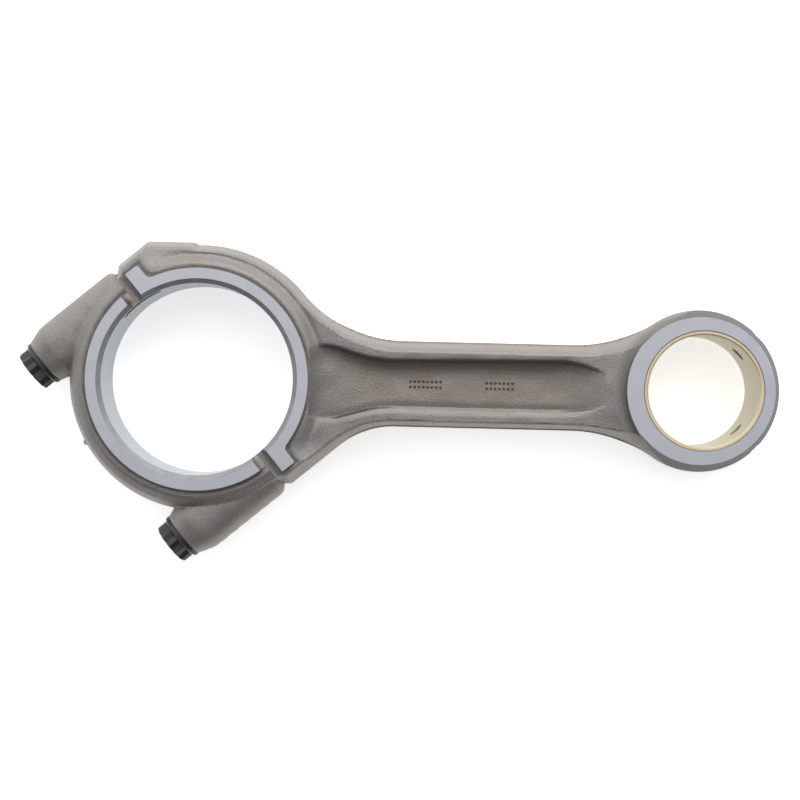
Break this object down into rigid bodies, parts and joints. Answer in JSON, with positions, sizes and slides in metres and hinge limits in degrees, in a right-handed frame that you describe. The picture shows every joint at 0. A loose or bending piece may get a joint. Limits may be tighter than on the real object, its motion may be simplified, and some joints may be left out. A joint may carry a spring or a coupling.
{
  "type": "connecting rod",
  "caption": "Forged steel connecting rod with an oblique split big end, bolted bearing cap, I-section shank and bushed small end.",
  "frame": {"origin": "centre of the assembly's bounding box at its lowest face; the rod lies on the side faces of its two ends", "axes": "+X from the big end to the small end, +Z along both pins' axes"},
  "size_m": [0.3918, 0.1642, 0.044],
  "materials": {
    "rod_steel": "shot-blasted forging with ground faces",
    "cap_steel": "shot-blasted forging with ground faces",
    "bronze": "bored bronze bearing surface",
    "bolt_steel": "black phosphate"
  },
  "bodies": {
    "rod": {"rod_body": "rod_steel", "small_end_bush": "bronze"},
    "cap": {"bearing_cap": "cap_steel"},
    "bolt_upper": {"upper_cap_bolt": "bolt_steel"},
    "bolt_lower": {"lower_cap_bolt": "bolt_steel"}
  },
  "joints": [
    {"name": "cap_off", "type": "slide", "parent": "rod", "child": "cap", "axis": [-0.766, -0.6428, 0], "range_m": [0, 0.06]},
    {"name": "upper_bolt_out", "type": "slide", "parent": "cap", "child": "bolt_upper", "axis": [-0.766, -0.6428, 0], "range_m": [0, 0.09]},
    {"name": "lower_bolt_out", "type": "slide", "parent": "cap", "child": "bolt_lower", "axis": [-0.766, -0.6428, 0], "range_m": [0, 0.09]}
  ]
}
